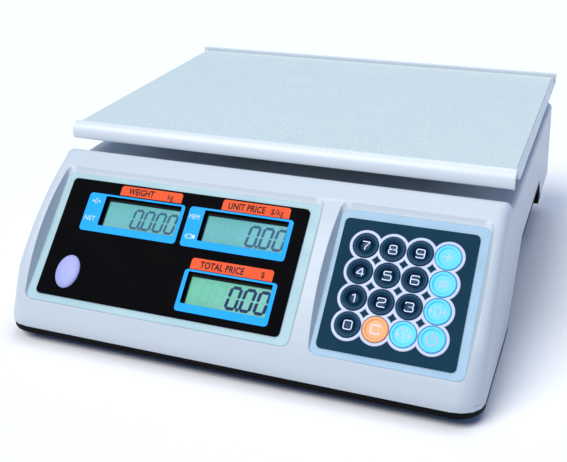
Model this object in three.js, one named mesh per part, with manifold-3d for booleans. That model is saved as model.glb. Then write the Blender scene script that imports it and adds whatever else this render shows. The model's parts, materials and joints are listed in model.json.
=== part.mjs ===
// Retail price scale: sloping console with three displays and sixteen keys, lift-off weighing tray,
// load cell and electronics inside. Millimetres, +Z up. The origin is on the floor under the middle
// of the case; the console faces -Y.
import * as THREE from 'three'
import { mergeVertices } from 'three/addons/utils/BufferGeometryUtils.js'
import Module from 'manifold-3d'

const wasm = await Module()
wasm.setup()

// ---- driving dimensions ----
const GAP = 0.3 // clearance between pieces that touch
const KEY_PITCH = 19.05
const CASE_HALF_WIDTH = 176.3 // half width at the height of the deck
const CASE_DRAFT = 0.04 // outward lean of the side walls per mm of drop
const DECK_Z = 106 // flat top behind the ridge, under the tray
const CASE_WALL = 3
const FRONT_Y = -173.5 // datum near the front; every other Y below is measured back from it
const CASE_BACK = 362
const PARTING_Z = 12.7 // lower edge of the upper case at the front
const ARCH_Z = 58.3 // lower edge of the upper case over the hand-hold
const LEG_Z = 36.4 // lower edge of the upper case behind the hand-hold
const ARCH = [102, 165, 281, 298] // hand-hold: slope starts, level starts, level ends, slope ends
const BASE_BOTTOM = 8
const BASE_FLOOR = 10.5
const BASE_RIM = 4.8 // height of the base's edge that shows below the upper case

const SLOPE = THREE.MathUtils.degToRad(43.45) // console panels from the horizontal
const PANEL_ORIGIN = [0, FRONT_Y - 2.6, 36.93] // lower edge of the display panel, on its face
const CONSOLE_RADIUS = 240 // side profile of the console surface
const CONSOLE_PEAK = [52, 6.2] // along the panel slope, and above the panel faces
const RECESS_FLOOR = -1.3 // from the panel faces
const RECESS_LEAN = 0.38 // outward lean of the recess walls per mm of rise
const RECESS_RAMP = 2.6 // the same for the wall at the top of a recess
const PANEL_THICK = 1

// rectangles on the console: [left, low, right, high], across and up the slope
const DISPLAY_PANEL = [-156.2, 0, 39.3, 95]
const DISPLAY_RECESS = [-163.7, -5.8, 47.3, 100]
const KEYPAD_PANEL = [66.1, -1.7, 160.3, 93.1]
const KEYPAD_RECESS = [62.1, -7, 167, 100]
const WINDOWS = {
  weight: [-123.5, 59.3, -59.4, 83.3],
  unit_price: [-40, 59.3, 25.9, 83.3],
  total_price: [-38.8, 11.5, 26.2, 35.4],
}
const LCD_FACE = -4.3 // lcd glass, from the panel faces
const LCD_THICK = 2.7
const BACKLIGHT_THICK = 3
const BOARD_THICK = 1.6
const KEY_ORIGIN = [84.66, 74.16] // centre of the top left key
const KEY_RADIUS = 8.95
const KEY_NAMES = [
  ['key_7', 'key_8', 'key_9', 'key_plus'],
  ['key_4', 'key_5', 'key_6', 'key_hash'],
  ['key_1', 'key_2', 'key_3', 'key_zero_set'],
  ['key_0', 'key_clear', 'key_tare', 'key_power'],
]
const PLUG = { at: [-134.5, 19.5], half: [9.6, 13], height: 2.6 }

const TRAY_TOP = 133
const TRAY_HALF = 174.4
const TRAY_Y = [107.4, 348.9] // top sheet, front and back
const TRAY_SKIRT = [177.8, 127.2] // lower edge of the side skirts: half width and height
const SHEET_THICK = 0.7
const TRAY_PLATE = 2.5
const TRAY_MIDDLE = (TRAY_Y[0] + TRAY_Y[1]) / 2

const FOOT = { x: 148, y: [26, 322], radius: 15, stud: 4 }
const SCREWS = [[168, 18, 60], [154, 345, DECK_Z - 1]] // across, back from the front, top of the post above
const CELL = { half: 65, width: 30, z: [34.3, 56.3], bolt: [38, 55], seat: 16 }
const BATTERY = { x: -60, y: [256, 351], half: 25.5, z: [BASE_FLOOR + GAP, 33.8] }
const DOOR = { half: 31, z: [12, 34.6], thick: 2.4 }
const INLET = { x: 118, z: 22.4, half: [13.5, 9.5], depth: 22 }
const LEVEL = [-60, FRONT_Y + 166] // spirit level in the deck

const COLOURS = {
  case: [0xd9e3f2, 0.45, 0], base: [0x0b0b0e, 0.6, 0], tray: [0xcfdbe8, 0.4, 0],
  sheet: [0xc9dade, 0.5, 0.1], panel: [0x050508, 0.3, 0], navy: [0x16385a, 0.4, 0],
  digit: [0x1a2f45, 0.4, 0], cyan: [0x50cdf9, 0.4, 0], orange: [0xeeae72, 0.4, 0],
  plug: [0xb4b4e2, 0.4, 0], lcd: [0x8cbeb9, 0.2, 0], backlight: [0xe8efe0, 0.5, 0],
  board: [0x1f6b42, 0.5, 0], metal: [0xb9bec4, 0.35, 0.9], steel: [0x8d9299, 0.4, 0.9],
  rubber: [0x17171a, 0.9, 0], battery: [0x3a3d44, 0.6, 0], transformer: [0x6b4a2c, 0.6, 0.2],
  level: [0xbfe6a0, 0.15, 0],
}

// ---- solids ----
function solid(geometry) {
  const bare = geometry.clone()
  bare.deleteAttribute('normal')
  bare.deleteAttribute('uv')
  const merged = mergeVertices(bare, 1e-4)
  const index = merged.getIndex().array
  const kept = []
  for (let i = 0; i < index.length; i += 3) {
    const [a, b, c] = [index[i], index[i + 1], index[i + 2]]
    if (a !== b && b !== c && c !== a) kept.push(a, b, c)
  }
  merged.setIndex(kept)
  return merged
}

function toManifold(geometry) {
  const g = solid(geometry)
  const vertProperties = new Float32Array(g.getAttribute('position').array)
  const triVerts = new Uint32Array(g.getIndex().array)
  return new wasm.Manifold(new wasm.Mesh({ numProp: 3, vertProperties, triVerts }))
}

function fromManifold(manifold) {
  const mesh = manifold.getMesh()
  const g = new THREE.BufferGeometry()
  g.setAttribute('position', new THREE.BufferAttribute(new Float32Array(mesh.vertProperties), 3))
  g.setIndex([...mesh.triVerts])
  return g
}

function cut(body, ...tools) {
  return fromManifold(tools.reduce((m, tool) => m.subtract(toManifold(tool)), toManifold(body)))
}

function join(first, ...others) {
  return fromManifold(others.reduce((m, other) => m.add(toManifold(other)), toManifold(first)))
}

function common(a, b) {
  return fromManifold(toManifold(a).intersect(toManifold(b)))
}

function box(x0, x1, y0, y1, z0, z1) {
  const g = new THREE.BoxGeometry(x1 - x0, y1 - y0, z1 - z0)
  return g.translate((x0 + x1) / 2, (y0 + y1) / 2, (z0 + z1) / 2)
}

function plate(shape, z0, z1) {
  const g = new THREE.ExtrudeGeometry(shape, { depth: z1 - z0, bevelEnabled: false, curveSegments: 5 })
  return g.translate(0, 0, z0)
}

// outline in the YZ plane, drawn out along X
function bar(outline, x0, x1) {
  const shape = new THREE.Shape(outline.map(([y, z]) => new THREE.Vector2(y, z)))
  const g = new THREE.ExtrudeGeometry(shape, { depth: x1 - x0, bevelEnabled: false })
  const turn = new THREE.Matrix4().makeBasis(
    new THREE.Vector3(0, 1, 0), new THREE.Vector3(0, 0, 1), new THREE.Vector3(1, 0, 0))
  return g.applyMatrix4(turn).translate(x0, 0, 0)
}

function turned(profile, sides, x = 0, y = 0) {
  const points = profile.map(([r, z]) => new THREE.Vector2(r, z))
  return new THREE.LatheGeometry(points, sides).rotateX(Math.PI / 2).translate(x, y, 0)
}

function rod(radius, z0, z1, sides, x = 0, y = 0) {
  return turned([[0, z0], [radius, z0], [radius, z1], [0, z1]], sides, x, y)
}

function roundedPoints([x0, y0, x1, y1], radius, steps = 5) {
  const corners = [[x1 - radius, y0 + radius, -90], [x1 - radius, y1 - radius, 0],
    [x0 + radius, y1 - radius, 90], [x0 + radius, y0 + radius, 180]]
  return corners.flatMap(([cx, cy, start]) => Array.from({ length: steps + 1 }, (_, i) => {
    const a = THREE.MathUtils.degToRad(start + 90 * i / steps)
    return [cx + radius * Math.cos(a), cy + radius * Math.sin(a)]
  }))
}

function roundedShape(rect, radius, steps) {
  return new THREE.Shape(roundedPoints(rect, radius, steps).map(([x, y]) => new THREE.Vector2(x, y)))
}

const grow = ([x0, y0, x1, y1], d) => [x0 - d, y0 - d, x1 + d, y1 + d]

// closed skin through equal rings of points, with flat ends
function loft(rings) {
  const n = rings[0].length
  const points = rings.flat()
  const index = []
  for (let k = 0; k + 1 < rings.length; k++) {
    for (let i = 0; i < n; i++) {
      const [a, b] = [k * n + i, k * n + (i + 1) % n]
      index.push(a, b, b + n, a, b + n, a + n)
    }
  }
  for (const k of [0, rings.length - 1]) {
    for (const face of endFaces(rings[k])) {
      if (k === 0) face.reverse()
      index.push(...face.map(i => k * n + i))
    }
  }
  if (volume(points, index) < 0) index.reverse()
  const g = new THREE.BufferGeometry()
  g.setAttribute('position', new THREE.BufferAttribute(new Float32Array(points.flat()), 3))
  g.setIndex(index)
  return g
}

// triangles that fill a flat ring, wound the same way as the ring
function endFaces(ring) {
  const spans = [0, 1, 2].map(axis => {
    const places = ring.map(p => p[axis])
    return Math.max(...places) - Math.min(...places)
  })
  const [u, v] = [[1, 2], [2, 0], [0, 1]][spans.indexOf(Math.min(...spans))]
  const outline = ring.map(p => new THREE.Vector2(p[u], p[v]))
  const way = Math.sign(THREE.ShapeUtils.area(outline))
  return THREE.ShapeUtils.triangulateShape(outline, []).map(face => {
    const area = THREE.ShapeUtils.area(face.map(i => outline[i]))
    return Math.sign(area) === way ? face : face.reverse()
  })
}

function volume(points, index) {
  let six = 0
  for (let i = 0; i < index.length; i += 3) {
    const [a, b, c] = [0, 1, 2].map(k => new THREE.Vector3(...points[index[i + k]]))
    six += a.dot(b.cross(c))
  }
  return six / 6
}

// recess with leaning walls: the same rounded rectangle, larger at the top, and most so on its far side
function tapered(rect, radius, z0, z1, ramp = RECESS_LEAN) {
  const rise = (z1 - z0) * RECESS_LEAN
  const [left, low, right, high] = grow(rect, rise)
  const wide = [left, low, right, high + (z1 - z0) * (ramp - RECESS_LEAN)]
  const bottom = roundedPoints(rect, radius).map(([x, y]) => [x, y, z0])
  const top = roundedPoints(wide, radius + rise).map(([x, y]) => [x, y, z1])
  return loft([bottom, top])
}

const panelMatrix = new THREE.Matrix4().makeRotationX(SLOPE).setPosition(...PANEL_ORIGIN)
const onPanel = geometry => geometry.applyMatrix4(panelMatrix)
const fromFront = y => FRONT_Y + y

// ---- upper case ----
function consoleArc(from, to, steps) {
  return Array.from({ length: steps + 1 }, (_, i) => {
    const s = from + (to - from) * i / steps
    const t = CONSOLE_PEAK[1] - (s - CONSOLE_PEAK[0]) ** 2 / (2 * CONSOLE_RADIUS)
    const y = -2.6 + s * Math.cos(SLOPE) - t * Math.sin(SLOPE)
    const z = PANEL_ORIGIN[2] + s * Math.sin(SLOPE) + t * Math.cos(SLOPE)
    return [y, z]
  })
}

// side profile from the front lower edge, over the console and deck, and back along the lower edge;
// each point is [back from the front, height, edge radius, kept level when rounded]
function caseProfile() {
  const face = [[-14.2, PARTING_Z, 20, true], [-14.9, 16.4, 20], [-14.6, 18.8, 20], [-13.4, 21.2, 19]]
  const slope = consoleArc(-11, 114, 13).map(([y, z], i) => [y, z, Math.max(8, 17 - 3 * i)])
  const ridge = [[84.6, 115.9, 7], [88, 116.6, 6], [91.4, 115.8, 5], [94, 113.4, 4]]
  const deck = [[99.5, 107.5, 4], [103, DECK_Z, 4], [CASE_BACK - 5, DECK_Z, 4]]
  const back = [[CASE_BACK - 1.5, DECK_Z - 1.5, 4], [CASE_BACK, DECK_Z - 5, 4], [CASE_BACK, LEG_Z, 4, true]]
  const under = [[ARCH[3], LEG_Z], [ARCH[2], ARCH_Z], [ARCH[1], ARCH_Z], [ARCH[0], PARTING_Z]]
  return [...face, ...slope, ...ridge, ...deck, ...back, ...under.map(p => [...p, 0, true])]
}

function inwardNormals(points) {
  return points.map((p, i) => {
    const before = points[(i + points.length - 1) % points.length]
    const after = points[(i + 1) % points.length]
    const a = new THREE.Vector2(p[0] - before[0], p[1] - before[1]).normalize()
    const b = new THREE.Vector2(after[0] - p[0], after[1] - p[1]).normalize()
    const middle = a.clone().add(b).normalize()
    const stretch = 1 / Math.max(0.5, middle.dot(a))
    return [middle.y * stretch, -middle.x * stretch]
  })
}

// shell solid: the profile drawn across the width, its ends rounded over, leaning out with depth
function caseBlock(profile, halfWidth, inset = 0) {
  const normals = inwardNormals(profile)
  const steps = 4
  const ring = (side, turn) => profile.map(([y, z, radius, level], i) => {
    const r = Math.max(radius - inset, 0)
    const roll = r * (1 - Math.cos(turn))
    const back = Math.max(radius, 1) * (1 - Math.sin(turn))
    const yy = y + normals[i][0] * (roll + inset) * (level && radius === 0 ? 0 : 1)
    const zz = level ? z : z + normals[i][1] * (roll + inset)
    const x = halfWidth - inset + CASE_DRAFT * (DECK_Z - zz) - back
    return [side * x, fromFront(yy), zz]
  })
  const turns = Array.from({ length: steps + 1 }, (_, i) => Math.PI / 2 * (1 - i / steps))
  const left = turns.map(turn => ring(-1, turn))
  const right = [...turns].reverse().map(turn => ring(1, turn))
  return loft([...left, ...right])
}

// the hollow reaches below the lower edge, so that the case is open underneath
function caseHollow() {
  const drop = 60
  const profile = caseProfile().filter(p => !(p[2] === 0))
  const lowered = profile.map(([y, z, r, level]) => [y, level ? z - drop : z, r, level])
  return caseBlock(lowered, CASE_HALF_WIDTH, CASE_WALL)
}

// posts over the case screws, trimmed where they would come out through the case
function screwPosts(outer) {
  const outside = cut(box(-190, 190, -200, 200, 40, 140), outer)
  return SCREWS.flatMap(([x, y, top]) => [-x, x].map(side => {
    const post = rod(5, BASE_FLOOR + GAP, top, 12, side, fromFront(y))
    return cut(post, rod(1.6, 0, 26, 8, side, fromFront(y)), outside)
  }))
}

function upperCase() {
  const outer = caseBlock(caseProfile(), CASE_HALF_WIDTH)
  const tubs = [DISPLAY_RECESS, KEYPAD_RECESS].map(rect =>
    onPanel(tapered(grow(rect, 3), 8, RECESS_FLOOR - CASE_WALL, 14)))
  const hollow = cut(caseHollow(), ...tubs)
  const recesses = [DISPLAY_RECESS, KEYPAD_RECESS].map(rect =>
    onPanel(tapered(rect, 6, RECESS_FLOOR, 14, RECESS_RAMP)))
  const windows = Object.values(WINDOWS).map(rect =>
    onPanel(plate(roundedShape(grow(rect, 1), 1, 1), -6, 0)))
  const stems = keyCentres().map(({ x, s }) => onPanel(rod(3.2, -6, 0, 8, x, s)))
  const plugHole = onPanel(rod(3.3, -6, 0, 12, ...PLUG.at))
  const postHole = rod(30, DECK_Z - 8, DECK_Z + 3, 24, 0, fromFront(TRAY_MIDDLE))
  const levelHole = rod(9.3, DECK_Z - 8, DECK_Z + 3, 16, ...LEVEL)
  const shell = join(cut(outer, hollow), ...screwPosts(outer))
  return cut(shell, ...recesses, ...windows, ...stems, plugHole, postHole, levelHole)
}

// ---- base ----
const BASE_INSET = 0.2 // of the rim under the upper case
const BASE_REAR = 164.4 // half width of the body behind the hand-holds
const BASE_WALL = 2.5
const HOLD_DEPTH = 34 // how far the hand-holds go in from the sides
const BASE_STEP = 300 // the rim is narrower and the body starts behind here
const REAR_RIM_INSET = 4.5

const sideAt = z => CASE_HALF_WIDTH + CASE_DRAFT * (DECK_Z - z)
const baseHalf = sideAt(PARTING_Z) - BASE_INSET
const baseBack = CASE_BACK - 4.5

// pan outline seen from above, with rounded front corners and a narrower rim at the rear
function basePlan(inset) {
  const half = baseHalf - inset
  const rear = sideAt(LEG_Z) - REAR_RIM_INSET - inset
  const front = fromFront(-14) + inset
  const corner = 20 - inset
  const step = fromFront(BASE_STEP) - inset
  const shape = new THREE.Shape()
  shape.moveTo(-half + corner, front)
  shape.lineTo(half - corner, front)
  shape.absarc(half - corner, front + corner, corner, -Math.PI / 2, 0, false)
  shape.lineTo(half, step)
  shape.lineTo(rear, step)
  shape.lineTo(rear, fromFront(baseBack) - inset)
  shape.lineTo(-rear, fromFront(baseBack) - inset)
  shape.lineTo(-rear, step)
  shape.lineTo(-half, step)
  shape.lineTo(-half, front + corner)
  shape.absarc(-half + corner, front + corner, corner, Math.PI, 1.5 * Math.PI, false)
  return shape
}

// side view of the pan, whose top edge follows the lower edge of the upper case
function baseSide() {
  const rim = [[-20, PARTING_Z], [ARCH[0], PARTING_Z], [ARCH[1], ARCH_Z], [ARCH[2], ARCH_Z],
    [ARCH[3], LEG_Z], [CASE_BACK, LEG_Z]]
  const top = rim.map(([y, z]) => [fromFront(y), z - GAP])
  return [[fromFront(-20), BASE_BOTTOM], ...top, [fromFront(CASE_BACK), BASE_BOTTOM]]
}

// finger space under the raised rim at one side; wall above 0 gives the same shape made larger
function handHold(side, wall) {
  const under = ARCH_Z - BASE_RIM + wall
  const block = LEG_Z - 1.9 + wall
  const run = (ARCH[1] - ARCH[0]) / (ARCH_Z - PARTING_Z)
  const foot = ARCH[0] - BASE_BOTTOM * run - 2 * wall
  const drop = ARCH[2] + 2 + wall
  const end = BASE_STEP + 2 + wall
  const outline = [[foot, 0], [ARCH[1] - wall / 2, under], [drop, under], [drop, block],
    [end, block], [end, 0]]
  const inner = baseHalf - HOLD_DEPTH - wall
  const [x0, x1] = side > 0 ? [inner, 200] : [-200, -inner]
  return bar(outline.map(([y, z]) => [fromFront(y), z]), x0, x1)
}

// space beside the narrower rear body, under the rear rim
function rearStep(side, wall) {
  const inner = BASE_REAR - wall
  const [x0, x1] = side > 0 ? [inner, 200] : [-200, -inner]
  return box(x0, x1, fromFront(BASE_STEP), fromFront(CASE_BACK + 10), 0, LEG_Z - BASE_RIM / 2 + wall)
}

// the plan drawn up with the same lean as the side walls of the upper case
function baseBlock(inset, z0, z1) {
  return loft([z0, z1].map(z => {
    const { shape } = basePlan(inset + CASE_DRAFT * (z - PARTING_Z)).extractPoints(6)
    return shape.filter((p, i) => p.distanceTo(shape.at(i - 1)) > 1e-6).map(({ x, y }) => [x, y, z])
  }))
}

function basePan() {
  const outside = common(baseBlock(0, BASE_BOTTOM, ARCH_Z), bar(baseSide(), -190, 190))
  const inside = baseBlock(BASE_WALL, BASE_FLOOR, ARCH_Z + 5)
  const spaces = wall => [-1, 1].flatMap(side => [handHold(side, wall), rearStep(side, wall)])
  const pan = cut(outside, cut(inside, ...spaces(BASE_WALL)), ...spaces(0))
  const feet = footPlaces().map(([x, y]) => rod(8, BASE_BOTTOM, 20, 14, x, y))
  const footHoles = footPlaces().map(([x, y]) => rod(FOOT.stud + GAP, 0, 22, 12, x, y))
  const screwHoles = screwPlaces().map(([x, y]) => rod(2.2, 0, 12, 8, x, y))
  const middle = fromFront(TRAY_MIDDLE)
  const cellSeat = box(-CELL.half - 3, -20, middle - 22, middle + 22, BASE_BOTTOM, CELL.seat)
  const [back0, back1] = [fromFront(baseBack - 5), fromFront(CASE_BACK)]
  const doorway = box(BATTERY.x - DOOR.half, BATTERY.x + DOOR.half, back0, back1, ...DOOR.z)
  const inletHole = box(INLET.x - INLET.half[0], INLET.x + INLET.half[0], back0, back1,
    INLET.z - INLET.half[1], INLET.z + INLET.half[1])
  return cut(join(pan, cellSeat, ...feet), ...footHoles, ...screwHoles, doorway, inletHole)
}

function footPlaces() {
  return FOOT.y.flatMap(y => [-1, 1].map(side => [side * FOOT.x, fromFront(y)]))
}

function screwPlaces() {
  return SCREWS.flatMap(([x, y]) => [[-x, fromFront(y)], [x, fromFront(y)]])
}

// ---- feet, screws ----
function footPad(x, y) {
  const r = FOOT.radius
  return turned([[0, 0], [r - 1, 0], [r, 1.5], [r - 2.5, 6], [0, 6]], 20, x, y)
}

function footStud(x, y) {
  const r = FOOT.stud
  const seat = BASE_BOTTOM - GAP
  return turned([[0, 6.3], [9, 6.3], [9, seat], [r, seat], [r, 26], [0, 26]], 12, x, y)
}

function caseScrew(x, y) {
  const seat = BASE_BOTTOM - GAP
  return turned([[0, 5.6], [4, 5.6], [4, seat], [1.3, seat], [1.3, 24], [0, 24]], 8, x, y)
}

// ---- console pieces, in panel coordinates: across, up the slope, out of the face ----
function keyCentres() {
  return KEY_NAMES.flatMap((row, r) => row.map((name, c) => (
    { name, x: KEY_ORIGIN[0] + c * KEY_PITCH, s: KEY_ORIGIN[1] - r * KEY_PITCH })))
}

function displayPanel() {
  const sheet = plate(roundedShape(DISPLAY_PANEL, 3.5, 4), -PANEL_THICK, 0)
  const windows = Object.values(WINDOWS).map(rect => plate(roundedShape(rect, 0.8, 1), -2, 1))
  return cut(sheet, ...windows, rod(3.3, -2, 1, 12, ...PLUG.at))
}

function keypadPanel() {
  const sheet = plate(roundedShape(KEYPAD_PANEL, 3.5, 4), -PANEL_THICK, 0)
  return cut(sheet, ...keyCentres().map(({ x, s }) => rod(KEY_RADIUS + GAP, -2, 1, 20, x, s)))
}

// dished disc on a stem that reaches the switch on the keypad board
function keyCap() {
  const r = KEY_RADIUS
  return turned([[0, -5.6], [2.5, -5.6], [2.5, -0.1], [r, -0.1], [r, 0.6], [r - 1.1, 1], [r - 2.5, 0.9],
    [r - 3.5, 0.5], [0, 0.4]], 20)
}

// shallow oval dome on a round peg
function panelPlug() {
  const [a, b] = PLUG.half
  const dome = turned([[0, GAP], [1, GAP], [1, 0.9], [0.86, 1.7], [0.55, 2.3], [0, PLUG.height]], 24)
  dome.scale(a, b, 1)
  return join(dome, rod(2.9, -5, 1, 12))
}

function lcdGlass(rect) {
  return plate(roundedShape(grow(rect, 3), 0.6, 1), LCD_FACE - LCD_THICK, LCD_FACE)
}

// one light guide behind all three glasses
function backlight() {
  const top = LCD_FACE - LCD_THICK - GAP
  return plate(roundedShape([-128, 7, 31, 88], 2, 1), top - BACKLIGHT_THICK, top)
}

function displayBoard() {
  const top = LCD_FACE - LCD_THICK - BACKLIGHT_THICK - 2 * GAP
  const board = plate(roundedShape([-140, 4, 34, 92], 2, 1), top - BOARD_THICK, top)
  const plugs = [[-100, 20], [-60, 30]].map(([x, s]) => box(x, x + 24, s, s + 7, top - 8, top - 1))
  return join(board, ...plugs)
}

function keypadBoard() {
  const top = -6.7
  const board = plate(roundedShape([72, 6, 154, 86], 2, 1), top - BOARD_THICK, top)
  return join(board, box(100, 124, 12, 18, top - 7, top - 1))
}

// ---- tray and its support ----
function trayBody() {
  const [front, back] = TRAY_Y
  const top = TRAY_TOP - SHEET_THICK - GAP
  const low = top - TRAY_PLATE
  const lip = [[back + 3.2, TRAY_TOP + 3], [back + 0.6, TRAY_TOP + 2.6], [back + 0.4, top],
    [front - 0.4, top], [front - 0.7, TRAY_TOP + 1.6], [front - 2, TRAY_TOP + 2], [front - 5.4, TRAY_TOP + 0.7],
    [front - 8.4, TRAY_TOP - 2.6], [front - 9.8, TRAY_TOP - 7], [front - 9, TRAY_TOP - 10.2],
    [front - 6.6, TRAY_TOP - 11.6], [front - 4.2, TRAY_TOP - 10.2], [front - 5.4, TRAY_TOP - 7],
    [front - 3.6, TRAY_TOP - 4.6], [front, low], [back + 1, low], [back + 1.2, TRAY_TOP - 5],
    [back + 3.6, TRAY_TOP - 5]]
  const body = bar(lip.map(([y, z]) => [fromFront(y), z]).reverse(), -TRAY_HALF - 1, TRAY_HALF + 1)
  const [skirtX, skirtZ] = TRAY_SKIRT
  const inner = TRAY_HALF - 1
  const skirt = side => {
    const outer = [[TRAY_HALF + 0.6, top], [skirtX, skirtZ], [skirtX - 2, skirtZ]]
    const outline = [[inner, top], ...outer, [inner, low]]
    const ring = y => outline.map(([x, z]) => [side * x, y, z])
    const [y0, y1] = [fromFront(front - 1), fromFront(back + 3.6)]
    return loft(side > 0 ? [ring(y0), ring(y1)] : [ring(y1), ring(y0)])
  }
  const ribs = [-90, 0, 90].map(x =>
    box(x - 1, x + 1, fromFront(front + 20), fromFront(back - 20), low - 1.6, low + 1))
  const rearLip = box(-skirtX, skirtX, fromFront(back + 0.6), fromFront(back + 3.4), skirtZ, TRAY_TOP + 2.6)
  return join(body, skirt(1), skirt(-1), rearLip, ...ribs)
}

function traySheet() {
  const [front, back] = TRAY_Y
  return box(-TRAY_HALF, TRAY_HALF, fromFront(front), fromFront(back), TRAY_TOP - SHEET_THICK, TRAY_TOP)
}

const SUPPORT = { x: 118, y: 78, z: [112.3, 118], pad: 9 }

function supportPlaces() {
  const middle = fromFront(TRAY_MIDDLE)
  return [-1, 1].flatMap(sy => [-1, 1].map(sx => [sx * SUPPORT.x, middle + sy * SUPPORT.y]))
}

// cast spider: a hub, four arms and a round seat at the end of each arm
function traySupport() {
  const middle = fromFront(TRAY_MIDDLE)
  const hub = rod(30, SUPPORT.z[0], SUPPORT.z[1] + 1, 20, 0, middle)
  const reach = Math.hypot(SUPPORT.x, SUPPORT.y)
  const arms = supportPlaces().map(([x, y]) => {
    const arm = box(0, reach, -7, 7, SUPPORT.z[0], SUPPORT.z[1])
    return arm.rotateZ(Math.atan2(y - middle, x)).translate(0, middle, 0)
  })
  const seats = supportPlaces().map(([x, y]) => rod(12, SUPPORT.z[0], SUPPORT.z[1] + 2, 16, x, y))
  const holes = [-1, 1].map(side => rod(3, 100, 130, 8, side * 12, middle))
  return cut(join(hub, ...arms, ...seats), ...holes)
}

function trayPad(x, y) {
  const low = SUPPORT.z[1] + 2 + GAP
  const high = TRAY_TOP - SHEET_THICK - GAP - TRAY_PLATE - GAP
  const r = SUPPORT.pad
  return turned([[0, low], [r, low], [r, high - 1.5], [r - 2, high], [0, high]], 14, x, y)
}

// ---- load cell ----
function loadCell() {
  const w = CELL.width / 2
  const [z0, z1] = CELL.z
  const y = fromFront(TRAY_MIDDLE)
  const beam = box(-CELL.half, CELL.half, y - w, y + w, z0, z1)
  const eye = x => rod(7.5, -w - 2, w + 2, 16).rotateX(Math.PI / 2).translate(x, y, (z0 + z1) / 2)
  const slot = box(-14, 14, y - w - 2, y + w + 2, (z0 + z1) / 2 - 1.5, (z0 + z1) / 2 + 1.5)
  const holes = CELL.bolt.flatMap(x => [-x, x]).map(x => rod(3.3, z0 - 2, z1 + 2, 8, x, y))
  return cut(beam, eye(-14), eye(14), slot, ...holes)
}

function cellBlock() {
  const y = fromFront(TRAY_MIDDLE)
  const block = box(-CELL.half, -28, y - 15, y + 15, CELL.seat + GAP, CELL.z[0] - GAP)
  return cut(block, ...CELL.bolt.map(x => rod(2.6, CELL.seat + 4, 60, 8, -x, y)))
}

function cellPost() {
  const y = fromFront(TRAY_MIDDLE)
  const foot = box(28, CELL.half, y - 15, y + 15, CELL.z[1] + GAP, 66)
  const arm = box(-20, CELL.half, y - 15, y + 15, 65, 72)
  const column = rod(20, 71, SUPPORT.z[0] - GAP, 20, 0, y)
  const post = join(foot, arm, column)
  return cut(post, ...CELL.bolt.map(x => rod(2.6, 50, 68, 8, x, y)))
}

function cellBolt(x, z0, z1, headDown) {
  const y = fromFront(TRAY_MIDDLE)
  const head = headDown ? [z0, z0 + 4] : [z1 - 4, z1]
  const shank = headDown ? [z0 + 4, z1] : [z0, z1 - 4]
  const low = headDown ? head : shank
  const high = headDown ? shank : head
  const [r0, r1] = headDown ? [4.6, 2.3] : [2.3, 4.6]
  const profile = [[0, low[0]], [r0, low[0]], [r0, low[1]], [r1, high[0]], [r1, high[1]], [0, high[1]]]
  return turned(profile, 8, x, y)
}

// ---- electrics ----
function mainBoard() {
  const board = box(20, 130, fromFront(80), fromFront(150), 18, 19.6)
  const chips = [[40, 100, 18, 3], [72, 110, 12, 12], [100, 95, 20, 9], [40, 130, 30, 6]]
  const parts = chips.map(([x, y, w, h]) => box(x, x + w, fromFront(y), fromFront(y) + 12, 19, 19.6 + h))
  const legs = [[24, 84], [126, 84], [24, 146], [126, 146]]
    .map(([x, y]) => rod(3, BASE_FLOOR + GAP, 18.5, 8, x, fromFront(y)))
  return join(board, ...parts, ...legs)
}

function transformer() {
  const core = box(92, 140, fromFront(255), fromFront(297), BASE_FLOOR + GAP, 46)
  return join(core, box(100, 132, fromFront(249), fromFront(303), 17, 40))
}

function battery() {
  const [y0, y1] = BATTERY.y.map(fromFront)
  const block = box(BATTERY.x - BATTERY.half, BATTERY.x + BATTERY.half, y0, y1, ...BATTERY.z)
  const tabs = [-16, 16].map(x => box(BATTERY.x + x - 2.4, BATTERY.x + x + 2.4, y0 - 5, y0 + 1, 30, 31.2))
  return join(block, ...tabs)
}

// the door closes the battery opening and turns on its lower edge
function batteryDoor() {
  const y = fromFront(baseBack)
  const half = DOOR.half - GAP
  const leaf = box(BATTERY.x - half, BATTERY.x + half, y - DOOR.thick, y, DOOR.z[0] + GAP, DOOR.z[1] - GAP)
  const grip = box(BATTERY.x - 12, BATTERY.x + 12, y - 1, y + 1.2, DOOR.z[1] - 5, DOOR.z[1] - 3.2)
  return join(leaf, grip)
}

function inlet() {
  const y = fromFront(baseBack)
  const [w, h] = INLET.half
  const body = box(-w + GAP, w - GAP, y - INLET.depth, y + 1, -h + GAP, h - GAP)
  const flange = box(-w - 3, w + 3, y + GAP, y + 2.6, -h - 3, h + 3)
  const socket = box(-w + 2.4, w - 2.4, y - 16, y + 4, -h + 2.4, h - 2.4)
  const pins = [[-6, -1.5], [0, 1.5], [6, -1.5]].map(([x, z]) =>
    box(x - 1, x + 1, y - 17, y - 7, z - 2, z + 2))
  return join(cut(join(body, flange), socket), ...pins).translate(INLET.x, 0, INLET.z)
}

function spiritLevel() {
  return turned([[0, DECK_Z - 5], [9, DECK_Z - 5], [9, DECK_Z + GAP], [11, DECK_Z + GAP], [11, DECK_Z + 1.6],
    [7, DECK_Z + 2.2], [0, DECK_Z + 2.2]], 16, ...LEVEL)
}

// ---- assembly ----
const scale = new THREE.Group()
const panelGroup = new THREE.Group()
panelGroup.rotation.x = SLOPE
panelGroup.position.set(...PANEL_ORIGIN)
scale.add(panelGroup)

function add(name, geometry, colour, parent = scale, x = 0, y = 0) {
  const [hex, roughness, metalness] = COLOURS[colour]
  const material = new THREE.MeshStandardMaterial({ color: hex, roughness, metalness })
  const mesh = new THREE.Mesh(solid(geometry), material)
  mesh.name = name
  mesh.position.set(x, y, 0)
  parent.add(mesh)
}

function keyColour(name) {
  if (name === 'key_clear') return 'orange'
  return /^key_\d$/.test(name) ? 'digit' : 'cyan'
}

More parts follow.
